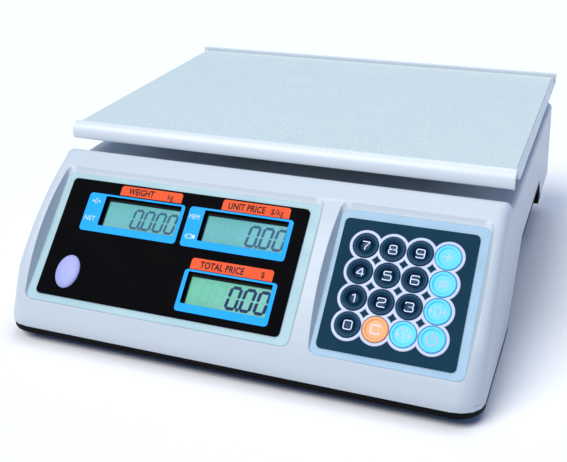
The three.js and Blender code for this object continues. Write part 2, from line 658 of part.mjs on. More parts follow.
add('upper_case', upperCase(), 'case')
add('base_pan', basePan(), 'base')
for (const [i, corner] of ['front_left', 'front_right', 'rear_left', 'rear_right'].entries()) {
  add(`foot_pad_${corner}`, footPad(...footPlaces()[i]), 'rubber')
  add(`foot_stud_${corner}`, footStud(...footPlaces()[i]), 'steel')
  add(`case_screw_${corner}`, caseScrew(...screwPlaces()[i]), 'steel')
  add(`tray_pad_${corner}`, trayPad(...supportPlaces()[i]), 'rubber')
}

add('display_panel', displayPanel(), 'panel', panelGroup)
add('panel_plug', panelPlug(), 'plug', panelGroup, ...PLUG.at)
for (const [name, rect] of Object.entries(WINDOWS)) {
  add(`lcd_${name}`, lcdGlass(rect), 'lcd', panelGroup)
}
add('backlight', backlight(), 'backlight', panelGroup)
add('display_board', displayBoard(), 'board', panelGroup)
add('keypad_panel', keypadPanel(), 'navy', panelGroup)
add('keypad_board', keypadBoard(), 'board', panelGroup)
for (const { name, x, s } of keyCentres()) add(name, keyCap(), keyColour(name), panelGroup, x, s)

add('tray_body', trayBody(), 'tray')
add('tray_sheet', traySheet(), 'sheet')
add('tray_support', traySupport(), 'metal')
add('load_cell', loadCell(), 'metal')
add('cell_block', cellBlock(), 'metal')
add('cell_post', cellPost(), 'metal')
CELL.bolt.forEach((x, i) => {
  add(`cell_bolt_upper_${i + 1}`, cellBolt(x, CELL.z[0] - 4.5, 64, true), 'steel')
  add(`cell_bolt_lower_${i + 1}`, cellBolt(-x, 22, CELL.z[1] + GAP + 4, false), 'steel')
})
add('main_board', mainBoard(), 'board')
add('transformer', transformer(), 'transformer')
add('battery', battery(), 'battery')
add('battery_door', batteryDoor(), 'base')
add('mains_inlet', inlet(), 'base')
add('spirit_level', spiritLevel(), 'level')

export default scale
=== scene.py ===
import json
import math

import bpy
import bmesh
from mathutils import Matrix, Vector
from mathutils.geometry import delaunay_2d_cdt


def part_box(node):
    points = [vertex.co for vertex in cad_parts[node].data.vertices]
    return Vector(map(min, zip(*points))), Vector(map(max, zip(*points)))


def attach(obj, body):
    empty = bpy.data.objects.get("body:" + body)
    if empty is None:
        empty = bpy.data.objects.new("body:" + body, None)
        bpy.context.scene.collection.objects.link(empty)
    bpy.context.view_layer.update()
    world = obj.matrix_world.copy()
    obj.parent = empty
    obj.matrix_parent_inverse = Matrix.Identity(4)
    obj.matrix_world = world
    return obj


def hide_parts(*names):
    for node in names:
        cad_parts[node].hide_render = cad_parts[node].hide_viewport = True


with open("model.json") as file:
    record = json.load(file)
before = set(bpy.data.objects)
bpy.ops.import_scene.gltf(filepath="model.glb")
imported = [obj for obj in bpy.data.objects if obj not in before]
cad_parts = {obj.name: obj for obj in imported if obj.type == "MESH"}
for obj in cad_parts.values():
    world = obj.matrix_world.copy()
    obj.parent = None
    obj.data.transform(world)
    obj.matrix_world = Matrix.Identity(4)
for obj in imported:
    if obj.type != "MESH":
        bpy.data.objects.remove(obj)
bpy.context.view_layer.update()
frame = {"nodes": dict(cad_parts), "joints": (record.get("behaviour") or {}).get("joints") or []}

MM = 0.001
scene = bpy.context.scene
nodes = frame["nodes"]

# ---- the console's frame: across, up the slope, out of the panel faces (mm) ----
PRESS = next(j for j in frame["joints"] if j["name"] == "press_key_5")
SLOPE = math.atan2(PRESS["axis"][1], -PRESS["axis"][2])
PANEL_THICK = 1.0
panel_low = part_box("display_panel")[0]
ORIGIN = Vector((0, panel_low.y, panel_low.z + PANEL_THICK * MM * math.cos(SLOPE)))
PANEL = Matrix.Translation(ORIGIN) @ Matrix.Rotation(SLOPE, 4, "X") @ Matrix.Scale(MM, 4)
TO_PANEL = PANEL.inverted()
WORLD = Matrix.Scale(MM, 4)


def panel_box(node):
    """(left, low, right, high) of a flat node in the console's frame, in mm"""
    points = [TO_PANEL @ v.co for v in nodes[node].data.vertices]
    return (min(p.x for p in points), min(p.y for p in points),
            max(p.x for p in points), max(p.y for p in points))


def middle(node):
    low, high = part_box(node)
    return (low + high) / 2


# ---- camera, floor, light ----
CAMERA_PLACE = (0.2323, -0.6482, 0.3625)
CAMERA_ANGLES = (20.942, 25.585, -1.130)  # azimuth, elevation, roll in degrees
SENSOR_WIDTH = 36  # mm
FOCAL_LENGTH = 56.23  # mm
LENS_SHIFT = (-0.0165, -0.0042)
FLOOR_REACH = 8  # m from the middle to each side
COOL_LIGHT = (0.28, 0.47, 1.0, 1)
COOL_STRENGTH = 0.48
BACKDROP = (0.97, 0.98, 1, 1)
FLOOR_COLOUR = (0.88, 0.87, 0.84, 1)
SOFT_LIGHTS = {  # place, angle it spreads over in degrees, strength, colour
    "key_light": ((-1.3, -1.7, 3.1), 36, 2.5, (1, 0.975, 0.90)),
    "top_light": ((0.3, 0.9, 3.1), 44, 1.1, (0.98, 1, 0.97)),
}


def add_camera():
    azimuth, elevation, roll = (math.radians(a) for a in CAMERA_ANGLES)
    forward = Vector((-math.sin(azimuth) * math.cos(elevation),
                      math.cos(azimuth) * math.cos(elevation), -math.sin(elevation)))
    right = Vector((math.cos(azimuth), math.sin(azimuth), 0))
    up = right.cross(forward)
    across = right * math.cos(roll) + up * math.sin(roll)
    upright = up * math.cos(roll) - right * math.sin(roll)
    camera = bpy.data.objects.new("camera", bpy.data.cameras.new("camera"))
    camera.matrix_world = Matrix.Translation(CAMERA_PLACE) @ Matrix(
        (across, upright, -forward)).transposed().to_4x4()
    camera.data.sensor_width = SENSOR_WIDTH
    camera.data.lens = FOCAL_LENGTH
    camera.data.shift_x, camera.data.shift_y = LENS_SHIFT
    camera.data.clip_start, camera.data.clip_end = 0.01, 50
    scene.collection.objects.link(camera)
    scene.camera = camera


def add_soft_light(name, place, spread, strength, colour):
    """wide, distant light that shines from a place towards the origin"""
    light = bpy.data.lights.new(name, "SUN")
    light.angle, light.energy, light.color = math.radians(spread), strength, colour
    lamp = bpy.data.objects.new(name, light)
    lamp.location = place
    lamp.rotation_euler = (-Vector(place)).to_track_quat("-Z", "Y").to_euler()
    scene.collection.objects.link(lamp)


def add_sky(tree):
    """cool light from all round, and a plain white backdrop where the camera sees past the floor"""
    cool = tree.nodes["Background"]
    cool.inputs["Color"].default_value = COOL_LIGHT
    cool.inputs["Strength"].default_value = COOL_STRENGTH
    white = tree.nodes.new("ShaderNodeBackground")
    white.inputs["Color"].default_value = BACKDROP
    either = tree.nodes.new("ShaderNodeMixShader")
    seen = tree.nodes.new("ShaderNodeLightPath").outputs["Is Camera Ray"]
    tree.links.new(seen, either.inputs["Fac"])
    tree.links.new(cool.outputs["Background"], either.inputs[1])
    tree.links.new(white.outputs["Background"], either.inputs[2])
    tree.links.new(either.outputs["Shader"], tree.nodes["World Output"].inputs["Surface"])


def add_studio():
    floor = bpy.data.meshes.new("floor")
    corners = [(x * FLOOR_REACH, y * FLOOR_REACH, 0) for x, y in ((-1, -1), (1, -1), (1, 1), (-1, 1))]
    floor.from_pydata(corners, [], [(0, 1, 2, 3)])
    ground = bpy.data.objects.new("floor", floor)
    scene.collection.objects.link(ground)
    pale, (_, shader) = new_material("floor")
    shader.inputs["Base Color"].default_value = FLOOR_COLOUR
    shader.inputs["Roughness"].default_value = 0.9
    floor.materials.append(pale)
    world = bpy.data.worlds.new("studio")
    world.use_nodes = True
    add_sky(world.node_tree)
    scene.world = world
    for name, settings in SOFT_LIGHTS.items():
        add_soft_light(name, *settings)


# ---- materials ----
def new_material(name):
    made = bpy.data.materials.new(name)
    made.use_nodes = True
    tree = made.node_tree
    return made, (tree, tree.nodes["Principled BSDF"])


def linear(colour):
    """linear values of an sRGB colour given from 0 to 255"""
    return tuple(c / 12.92 if c <= 0.04045 else ((c + 0.055) / 1.055) ** 2.4
                 for c in (v / 255 for v in colour))


def ranged(tree, source, low, high, start=0.0, end=1.0):
    """source stretched from start..end to low..high"""
    node = tree.nodes.new("ShaderNodeMapRange")
    node.inputs["From Min"].default_value, node.inputs["From Max"].default_value = start, end
    node.inputs["To Min"].default_value, node.inputs["To Max"].default_value = low, high
    tree.links.new(source, node.inputs["Value"])
    return node.outputs["Result"]


def noise(tree, scale, detail=2.0, stretch=None):
    place = tree.nodes.new("ShaderNodeTexCoord").outputs["Object"]
    if stretch:
        mapping = tree.nodes.new("ShaderNodeMapping")
        mapping.inputs["Scale"].default_value = stretch
        tree.links.new(place, mapping.inputs["Vector"])
        place = mapping.outputs["Vector"]
    node = tree.nodes.new("ShaderNodeTexNoise")
    node.inputs["Scale"].default_value, node.inputs["Detail"].default_value = scale, detail
    tree.links.new(place, node.inputs["Vector"])
    return node.outputs["Fac"]


def mixed(tree, fac, first, second):
    """a colour between two, each a tuple or a socket"""
    node = tree.nodes.new("ShaderNodeMix")
    node.data_type = "RGBA"
    tree.links.new(fac, node.inputs["Factor"])
    for socket, value in ((node.inputs[6], first), (node.inputs[7], second)):
        if isinstance(value, tuple):
            socket.default_value = (*value, 1)
        else:
            tree.links.new(value, socket)
    return node.outputs[2]


def finish_of(name, colour, rough=0.4, rough_spread=0.06, mottle=0.04, grain=1500, bump=0.04,
              depth=0.03, round_mm=0.5, stretch=None, **sockets):
    """surface with patchy colour and gloss, fine grain, and edges that catch the light.
    Colour is sRGB, grain in 1/m, depth and round_mm in mm."""
    made, (tree, shader) = new_material(name)
    base = linear(colour)
    dark = tuple(c * (1 - mottle) for c in base)
    light = tuple(min(1, c * (1 + mottle)) for c in base)
    patches = noise(tree, 14, 5, stretch)
    tree.links.new(mixed(tree, patches, dark, light), shader.inputs["Base Color"])
    speckle = noise(tree, grain, 2, stretch)
    smudge = noise(tree, 45, 4)
    tree.links.new(ranged(tree, smudge, rough - rough_spread, rough + rough_spread, 0.3, 0.7),
                   shader.inputs["Roughness"])
    raised = tree.nodes.new("ShaderNodeBump")
    raised.inputs["Strength"].default_value = bump
    raised.inputs["Distance"].default_value = depth * MM
    tree.links.new(speckle, raised.inputs["Height"])
    if round_mm:
        rounded = tree.nodes.new("ShaderNodeBevel")
        rounded.samples = 4
        rounded.inputs["Radius"].default_value = round_mm * MM
        tree.links.new(rounded.outputs["Normal"], raised.inputs["Normal"])
    tree.links.new(raised.outputs["Normal"], shader.inputs["Normal"])
    for socket, value in sockets.items():
        shader.inputs[socket.replace("_", " ")].default_value = value
    return made


def sheet_finish():
    """pale textured tray top: a tight crinkle, lighter spots painted into its colour as glints, and slow
    changes of tone
    """
    made = finish_of("tray_sheet", (199, 211, 206), rough=0.42, rough_spread=0.05, mottle=0.03,
                     grain=800, bump=0.8, depth=0.08)
    tree = made.node_tree
    shader = tree.nodes["Principled BSDF"]
    # lighter spots painted into the base colour: painted glints standing in for the sheet's sparkle
    glint_cells = tree.nodes.new("ShaderNodeTexVoronoi")
    glint_cells.inputs["Scale"].default_value = 470
    tree.links.new(tree.nodes["Texture Coordinate"].outputs["Object"], glint_cells.inputs["Vector"])
    painted_glints = ranged(tree, glint_cells.outputs["Distance"], 1, 0, 0.05, 0.55)
    tone = shader.inputs["Base Color"].links[0].from_socket
    # colour of the painted glints
    light = tuple(min(1, c * 1.15) for c in linear((214, 222, 214)))
    tree.links.new(mixed(tree, ranged(tree, painted_glints, 0, 0.6), tone, light), shader.inputs["Base Color"])
    return made


def glass_finish(name, colour, tint):
    """display glass: a smooth face whose tone changes slowly across it"""
    made = finish_of(name, colour, rough=0.3, rough_spread=0.03, mottle=0.02, grain=300, bump=0.01,
                     depth=0.01, round_mm=0, Specular_IOR_Level=0.12)
    tree = made.node_tree
    shader = tree.nodes["Principled BSDF"]
    tone = shader.inputs["Base Color"].links[0].from_socket
    drift = ranged(tree, noise(tree, 22, 1), 0, 1, 0.35, 0.65)
    tree.links.new(mixed(tree, drift, tone, linear(tint)), shader.inputs["Base Color"])
    return made


def brushed(name, colour, rough, stretch):
    """bare metal with its grain drawn out one way"""
    return finish_of(name, colour, rough, 0.08, 0.07, 260, 0.25, 0.03, 0.3, stretch, Metallic=1.0)


def printed(name, colour):
    """dull printing ink"""
    return finish_of(name, colour, 0.45, 0.05, 0.03, 900, 0.05, 0.02, 0, Specular_IOR_Level=0.12)


def make_materials():
    """the numbers after each colour are finish_of's, in order: rough, rough_spread, mottle, grain,
    bump, depth, round_mm"""
    return {
        "case": finish_of("case", (194, 202, 205), 0.42, 0.04, 0.012, 1300, 0.12, 0.03, 0.9),
        "base": finish_of("base", (4, 4, 6), 0.62, 0.06, 0.2, 1100, 0.3, 0.04, 0.4,
                          Specular_IOR_Level=0.1),
        "inlet": finish_of("inlet", (18, 18, 21), 0.38, 0.06, 0.2, 1300, 0.2, 0.03, 0.3),
        "rubber": finish_of("rubber", (24, 24, 26), 0.82, 0.06, 0.25, 900, 0.5, 0.06, 0.4),
        "steel": brushed("steel", (165, 170, 178), 0.34, (1, 1, 6)),
        "display_panel": finish_of("display_panel", (2, 2, 4), 0.6, 0.04, 0.3, 900, 0.06, 0.02, 0.2,
                                   Specular_IOR_Level=0.03),
        "skirt": finish_of("skirt", (4, 4, 6), 0.5, 0.05, 0.3, 900, 0.1, 0.02, 0.15,
                           Specular_IOR_Level=0.08),
        "blue": printed("printed_blue", (0, 164, 240)),
        "orange": printed("printed_orange", (240, 84, 36)),
        "ink": printed("printed_ink", (8, 6, 8)),
        "white_ink": printed("printed_white", (206, 226, 244)),
        # margins round the panels: a darker, bluer tint that is partly painted reflection and recess shade
        "display_bezel": finish_of("display_bezel", (152, 186, 191), 0.4, 0.05, 0.015, 1300, 0.12, 0.03,
                                   0.5),
        "keypad_bezel": finish_of("keypad_bezel", (142, 178, 198), 0.4, 0.05, 0.015, 1300, 0.12, 0.03,
                                  0.5),
        "plug": finish_of("plug", (162, 166, 212), 0.42, 0.04, 0.03, 900, 0.05, 0.02, 0.3,
                          Specular_IOR_Level=0.3),
        "lcd": glass_finish("lcd", (88, 174, 168), (112, 184, 190)),
        "lcd_total": glass_finish("lcd_total", (96, 190, 150), (118, 192, 172)),
        "segment": printed("lcd_segment", (52, 96, 120)),
        "segment_total": printed("lcd_segment_total", (6, 44, 88)),
        "ghost": glass_finish("lcd_ghost", (86, 171, 165), (110, 181, 187)),
        "ghost_total": glass_finish("lcd_ghost_total", (92, 184, 145), (114, 187, 167)),
        "backlight": finish_of("backlight", (226, 236, 222), 0.5, 0.05, 0.02, 700, 0.05, 0.02, 0.2),
        "board": finish_of("board", (24, 96, 58), 0.42, 0.1, 0.25, 700, 0.2, 0.03, 0.2),
        "keypad_panel": finish_of("keypad_panel", (10, 52, 70), 0.55, 0.05, 0.1, 1000, 0.15, 0.03, 0.3,
                                  Specular_IOR_Level=0.06),
        "ring": finish_of("key_ring", (184, 194, 218), 0.4, 0.05, 0.02, 1000, 0.08, 0.02, 0.25),
        "key_digit": finish_of("key_digit", (8, 56, 82), 0.42, 0.05, 0.12, 1100, 0.2, 0.03, 0.25,
                               Specular_IOR_Level=0.16),
        "key_function": finish_of("key_function", (64, 200, 250), 0.36, 0.05, 0.03, 1100, 0.12, 0.03, 0.25),
        "key_clear": finish_of("key_clear", (238, 152, 86), 0.36, 0.05, 0.03, 1100, 0.12, 0.03, 0.25),
        "glyph_light": finish_of("glyph_light", (214, 224, 244), 0.4, 0.05, 0.02, 900, 0.05, 0.02, 0.1),
        "glyph_cyan": finish_of("glyph_on_cyan", (196, 196, 238), 0.4, 0.05, 0.02, 900, 0.05, 0.02, 0.1),
        "glyph_power": finish_of("glyph_power", (226, 150, 146), 0.4, 0.05, 0.02, 900, 0.05, 0.02, 0.1),
        "tray": finish_of("tray", (214, 221, 222), 0.36, 0.05, 0.015, 1200, 0.1, 0.03, 0.5),
        "tray_sheet": sheet_finish(),
        "casting": finish_of("casting", (150, 154, 160), 0.45, 0.1, 0.1, 700, 0.6, 0.08, 0.6, Metallic=0.9),
        "transformer": finish_of("transformer", (96, 68, 44), 0.5, 0.1, 0.25, 500, 0.5, 0.1, 0.4, (1, 1, 8)),
        "battery": finish_of("battery", (44, 46, 52), 0.5, 0.08, 0.15, 900, 0.3, 0.03, 0.5),
        "level": finish_of("level", (176, 222, 128), 0.12, 0.03, 0.05, 300, 0.02, 0.01, 0.2,
                           Transmission_Weight=0.6),
    }


# ---- mesh building ----
def piece(name, solids, material, body="case", place=WORLD, replaces=(), sharp=32):
    """one object from (points in mm, faces) solids, in the frame given by place"""
    points, faces = [], []
    for verts, polygons in solids:
        faces += [tuple(i + len(points) for i in f) for f in polygons]
        points += [place @ Vector(v) for v in verts]
    mesh = bpy.data.meshes.new(name)
    mesh.from_pydata(points, [], faces)
    made = bmesh.new()
    made.from_mesh(mesh)
    bmesh.ops.recalc_face_normals(made, faces=made.faces)
    made.to_mesh(mesh)
    made.free()
    mesh.shade_smooth()
    mesh.set_sharp_from_angle(angle=math.radians(sharp))
    mesh.materials.append(MATERIALS[material])
    obj = bpy.data.objects.new(name, mesh)
    scene.collection.objects.link(obj)
    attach(obj, body)
    if replaces:
        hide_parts(*replaces)
    return obj


def rounded_loop(box, radius, steps=7):
    """rectangle with round corners, from its lower right corner round by the upper right"""
    x0, y0, x1, y1 = box
    corners = ((x1 - radius, y0 + radius, -90), (x1 - radius, y1 - radius, 0),
               (x0 + radius, y1 - radius, 90), (x0 + radius, y0 + radius, 180))
    return [(cx + radius * math.cos(a), cy + radius * math.sin(a))
            for cx, cy, start in corners
            for a in (math.radians(start + 90 * i / steps) for i in range(steps + 1))]


def oval(x, y, half_x, half_y, steps=24):
    return [(x + half_x * math.cos(turn), y + half_y * math.sin(turn))
            for turn in (2 * math.pi * i / steps for i in range(steps))]


def circle(x, y, radius, steps=40):
    return oval(x, y, radius, radius, steps)


def within(point, loop):
    """True if the point is inside the closed loop"""
    hit = False
    for (x0, y0), (x1, y1) in zip(loop, loop[1:] + loop[:1]):
        crosses = (y0 > point[1]) != (y1 > point[1])
        if crosses and point[0] < (x1 - x0) * (point[1] - y0) / (y1 - y0) + x0:
            hit = not hit
    return hit


def flat(outlines, low, high, inside=None):
    """plate between two heights, over the area inside an odd number of outlines, or where inside(point)
    is true"""
    inside = inside or (lambda p: sum(within(p, loop) for loop in outlines) % 2 == 1)
    points, edges = [], []
    for loop in outlines:
        first = len(points)
        edges += [(first + i, first + (i + 1) % len(loop)) for i in range(len(loop))]
        points += [Vector(p) for p in loop]
    corners, _, triangles, *_ = delaunay_2d_cdt(points, edges, [], 0, 1e-6)
    kept = [t for t in triangles if inside(sum((corners[i] for i in t), Vector((0, 0))) / len(t))]
    count = len(corners)
    verts = [(c.x, c.y, z) for z in (high, low) for c in corners]
    rims = {}
    for t in kept:
        for pair in zip(t, t[1:] + t[:1]):
            rims[pair] = True
    top = [tuple(t) for t in kept]
    bottom = [tuple(i + count for i in reversed(t)) for t in kept]
    sides = [(b, a, a + count, b + count) for a, b in rims if (b, a) not in rims]
    return verts, top + bottom + sides


def turned(profile, steps=48, at=(0, 0)):
    """solid of revolution: (radius, height) points from the axis at the bottom to the axis at the top"""
    verts, faces, rings = [], [], []
    for radius, z in profile:
        if radius < 1e-6:
            rings.append([len(verts)])
            verts.append((at[0], at[1], z))
        else:
            rings.append(list(range(len(verts), len(verts) + steps)))
            verts += [(*p, z) for p in circle(*at, radius, steps)]
    for low, high in zip(rings, rings[1:]):
        for i in range(steps):
            j = (i + 1) % steps
            if len(low) == 1:
                faces.append((low[0], high[j], high[i]))
            elif len(high) == 1:
                faces.append((low[i], low[j], high[0]))
            else:
                faces.append((low[i], low[j], high[j], high[i]))
    return verts, faces


SHARPEST_MITRE = 0.6  # keeps a ribbon's corners from running out to a spike
RIBBON_TOP = 0.38  # half the width of a ribbon's top, as a share of its foot


def ribbon(points, width, low, high, closed=False):
    """raised line along a path, with a slightly narrower top"""
    line = [Vector(p) for p in points]
    count = len(line)
    sides = []
    for i, p in enumerate(line):
        before = line[i - 1] if closed or i else p
        after = line[(i + 1) % count] if closed or i < count - 1 else p
        arriving, leaving = p - before, after - p
        if not arriving.length:
            arriving = leaving
        if not leaving.length:
            leaving = arriving
        arriving, leaving = arriving.normalized(), leaving.normalized()
        mid = (arriving + leaving).normalized()
        sides.append(Vector((-mid.y, mid.x)) / max(SHARPEST_MITRE, mid.dot(arriving)))
    verts = []
    for p, n in zip(line, sides):
        for w, z in ((-0.5, low), (-RIBBON_TOP, high), (RIBBON_TOP, high), (0.5, low)):
            verts.append((*(p + n * width * w), z))
    faces = []
    for i in range(count if closed else count - 1):
        j = (i + 1) % count
        faces += [(4 * i + a, 4 * j + a, 4 * j + b, 4 * i + b)
                  for a, b in ((0, 1), (1, 2), (2, 3), (3, 0))]
    if not closed:
        faces += [(0, 1, 2, 3), tuple(4 * count - 4 + k for k in (3, 2, 1, 0))]
    return verts, faces


LETTER_SPACING = 1.05


def lettering(text, size, x, s, high, align="LEFT", stretch=1.0, bold=0.0):
    """(points, faces) of flat letters just above a face"""
    curve = bpy.data.curves.new("letters", "FONT")
    curve.body, curve.size, curve.align_x, curve.offset = text, size, align, bold
    curve.resolution_u, curve.space_character = 3, LETTER_SPACING
    holder = bpy.data.objects.new("letters", curve)
    scene.collection.objects.link(holder)
    bpy.context.view_layer.update()
    mesh = holder.evaluated_get(bpy.context.evaluated_depsgraph_get()).to_mesh()
    verts = [(v.co.x * stretch + x, v.co.y + s, high) for v in mesh.vertices]
    faces = [tuple(p.vertices) for p in mesh.polygons]
    holder.to_mesh_clear()
    bpy.data.objects.remove(holder)
    bpy.data.curves.remove(curve)
    return verts, faces


# ---- console: displays ----
PRINT_FOOT, PRINT = 0.005, 0.05  # printed layers lie between these heights above the panel
INK_RISE = 0.02  # letters stand this far above the layer under them
MARK_RISE = 0.03  # the same for the small marks
PANEL_CORNER = 3.5
FRAME_CORNER = 2.6
TAB_CORNER = 2.2
WINDOW_INSET = 3  # from the edges of the glass
WINDOW_CORNER = 0.8
PLUG_HOLE = 3.3
SKIRT_WALL = 0.8  # the skirt runs this far past the window
SKIRT_HEIGHTS = (-4.25, -3.4, -0.75)  # bottom, ledge, top
LEDGE = (1.7, 0.1, -0.1, -2.3)  # the ledge's opening, from the window's left, low, right and high edges
BEZEL_HEIGHTS = (-1.28, -1.06)
BEZELS = {  # panel, and how far the margin runs past it: left, low, right, high
    "display_bezel": ("display_panel", (7.2, 5.5, 7.7, 4.7)),
    "keypad_bezel": ("keypad_panel", (3.7, 5, 6.4, 6.6)),
}
FRAMES = {  # blue frame, orange tab: (left, low, right, high)
    "weight": ((-138, 53.7, -56.5, 84.8), (-113, 85.7, -61, 93.6)),
    "unit_price": ((-52.5, 53.4, 29.4, 84.9), (-28, 85.4, 25, 93.8)),
    "total_price": ((-42, 5.4, 29.5, 37), (-39, 37.5, 24.7, 46)),
}
TITLES = {  # title, unit, their shifts to the right, width of the title's letters
    "weight": ("WEIGHT", "kg", 1.2, -1.2, 0.76),
    "unit_price": ("UNIT PRICE", "$/kg", -0.9, 1.2, 0.76),
    "total_price": ("TOTAL PRICE", "$", 1.9, -0.2, 0.765),
}
READINGS = {  # digits after the point, pitch, height, line width, gap at the right end
    "weight": (3, 9.6, 16.6, 2.0, 3.0),
    "unit_price": (2, 10.4, 17.2, 2.1, 1.0),
    "total_price": (2, 10.9, 18.0, 2.4, 1.8),
}


def window_box(name):
    left, low, right, high = panel_box(f"lcd_{name}")
    return left + WINDOW_INSET, low + WINDOW_INSET, right - WINDOW_INSET, high - WINDOW_INSET


def add_display_panel():
    windows = {name: window_box(name) for name in FRAMES}
    plug = TO_PANEL @ middle("panel_plug")
    hole = circle(plug.x, plug.y, PLUG_HOLE, 24)
    openings = [rounded_loop(box, WINDOW_CORNER, 3) for box in windows.values()]
    outline = rounded_loop(panel_box("display_panel"), PANEL_CORNER)
    piece("display_face", [flat([outline, hole, *openings], -PANEL_THICK, 0)], "display_panel",
          place=PANEL, replaces=["display_panel"])
    bottom, step, top = SKIRT_HEIGHTS
    for name, box in windows.items():
        around = tuple(edge + side * SKIRT_WALL for edge, side in zip(box, (-1, -1, 1, 1)))
        wall = rounded_loop(around, 1.4, 3)
        ledge = rounded_loop(tuple(edge + shift for edge, shift in zip(box, LEDGE)), 0.5, 3)
        upper = flat([wall, rounded_loop(box, WINDOW_CORNER, 3)], step, top)
        lower = flat([wall, ledge], bottom, step)
        piece(f"window_skirt_{name}", [upper, lower], "skirt", place=PANEL)


def add_bezels():
    """the margins on the recess floors round each panel, tinted darker and bluer than the case: partly their
    own tint, partly painted reflection and shade
    """
    for name, (panel, (left, low, right, high)) in BEZELS.items():
        x0, s0, x1, s1 = panel_box(panel)
        inner = rounded_loop((x0 + 2, s0 + 2, x1 - 2, s1 - 2), 3)
        outer = rounded_loop((x0 - left, s0 - low, x1 + right, s1 + high), 5.6, 10)
        piece(name, [flat([outer, inner], *BEZEL_HEIGHTS)], name, place=PANEL)


def add_printed_frames():
    for name, (frame_box, tab) in FRAMES.items():
        window = window_box(name)
        opening = rounded_loop(tuple(v + d for v, d in zip(window, (-0.1, -0.1, 0.1, 0.1))), WINDOW_CORNER, 3)
        border = flat([rounded_loop(frame_box, FRAME_CORNER), opening], PRINT_FOOT, PRINT)
        piece(f"printed_frame_{name}", [border], "blue", place=PANEL)
        left, low, right, _ = tab
        upper_corners = rounded_loop(tab, TAB_CORNER)[8:24]
        label = flat([[(right, low), *upper_corners, (left, low)]], PRINT_FOOT, PRINT)
        piece(f"printed_tab_{name}", [label], "orange", place=PANEL)
        title, unit, title_shift, unit_shift, stretch = TITLES[name]
        start, end, line = left + 5.5 + title_shift, right - 6 + unit_shift, low + 1.6
        top = PRINT + INK_RISE
        letters = [lettering(title, 7.1, start, line, top, stretch=stretch, bold=0.22),
                   lettering(unit, 6.6, end, line + 0.1, top, "RIGHT", stretch=0.84, bold=0.06)]
        piece(f"printed_title_{name}", letters, "ink", place=PANEL)


def arrow(x, s, way, size, width, low, high):
    """small arrow whose point is at (x, s)"""
    shaft = [(x - way * size * 1.5, s), (x, s)]
    head = [(x - way * size, s + size * 0.8), (x, s), (x - way * size, s - size * 0.8)]
    return [ribbon(shaft, width, low, high), ribbon(head, width, low, high)]


def add_small_marks():
    """zero sign, battery sign and the two small words beside the displays"""
    low, high = PRINT, PRINT + MARK_RISE
    zero = [ribbon(oval(-130.8, 78.3, 1.05, 1.9), 0.45, low, high, True)]
    zero += arrow(-132.7, 78.3, 1, 1.2, 0.45, low, high) + arrow(-128.9, 78.3, -1, 1.2, 0.45, low, high)
    battery = [ribbon([(-49, 63), (-45, 63), (-45, 60), (-49, 60)], 0.5, low, high, True),
               flat([rounded_loop((-44.6, 60.2, -42.2, 62.8), 0.2, 2)], low, high),
               flat([rounded_loop((-50.4, 60.9, -49.4, 62.1), 0.2, 2)], low, high)]
    words = [lettering("NET", 5.4, -136.6, 62.2, high, stretch=0.9),
             lettering("MEM", 5.6, -51.6, 75.1, high, stretch=0.74)]
    piece("printed_marks", zero + battery + words, "white_ink", place=PANEL)


SEGMENTS = {  # both ends of each bar, in digit widths across and half digit heights up
    "top": (0, 2, 1, 2), "bottom": (0, 0, 1, 0), "middle": (0, 1, 1, 1), "upper_left": (0, 1, 0, 2),
    "upper_right": (1, 1, 1, 2), "lower_left": (0, 0, 0, 1), "lower_right": (1, 0, 1, 1),
}
DIGIT_LEAN = 0.12
BAR_GAP, BAR_TIP = 0.08, 0.42  # in line widths: from a bar's end to the corner, and length of its point
LIT_RISE, UNLIT_RISE = 0.06, 0.04  # above the glass
DIGIT_PLACES = 6
DIGIT_SHARE = 0.66  # width of a digit, as a share of the pitch
DOT_SHIFT = 0.19  # from the digit to its point, as a share of the pitch
BASELINE = 3.0  # above the window's lower edge
SIDE_GAPS = (4, 1.5)  # least gap at the left, and a fixed gap at the right


def segment(x, s, width, height, line, ends, high):
    """one bar of a leaning seven-bar digit, with pointed ends"""
    u0, v0, u1, v1 = ends
    inset = line * BAR_GAP
    a = Vector((u0 * width, v0 * height / 2))
    b = Vector((u1 * width, v1 * height / 2))
    d = (b - a).normalized()
    a, b = a + d * inset, b - d * inset
    n = Vector((-d.y, d.x)) * line / 2
    tip = d * line * BAR_TIP
    corners = [a, a + tip + n, b - tip + n, b, b - tip - n, a + tip - n]
    verts = [(x + c.x + DIGIT_LEAN * c.y, s + c.y, high) for c in corners]
    return verts, [tuple(range(6))]


def add_displays():
    """zero readings: lit bars, and unlit ones a little darker than the glass"""
    for name, (after, pitch, height, line, margin) in READINGS.items():
        left, low, right, _ = window_box(name)
        node = f"lcd_{name}"
        top = max((TO_PANEL @ v.co).z for v in nodes[node].data.vertices)
        kind = "_total" if name == "total_price" else ""
        nodes[node].data.materials.clear()
        nodes[node].data.materials.append(MATERIALS["lcd" + kind])
        width = pitch * DIGIT_SHARE
        s = low + BASELINE
        lit, unlit = [], []
        for place in range(DIGIT_PLACES):
            x = right - margin - SIDE_GAPS[1] - width - place * pitch
            if x < left + SIDE_GAPS[0]:
                break
            for bar_name, ends in SEGMENTS.items():
                shown = place <= after and bar_name != "middle"
                rise = LIT_RISE if shown else UNLIT_RISE
                made = segment(x, s, width, height - line, line, ends, top + rise)
                (lit if shown else unlit).append(made)
            if place == after:
                dot = [(x + width + pitch * DOT_SHIFT + dx * line * 0.5, s + dy * line * 0.5, top + LIT_RISE)
                       for dx, dy in ((-1, -1), (1, -1), (1, 1), (-1, 1))]
                lit.append((dot, [(0, 1, 2, 3)]))
        piece(f"reading_{name}", lit, "segment" + kind, place=PANEL)
        piece(f"unlit_{name}", unlit, "ghost" + kind, place=PANEL)


PLUG_HEIGHTS = (0.3, 0.8, 2.6)  # foot, top of the straight edge, top of the dome


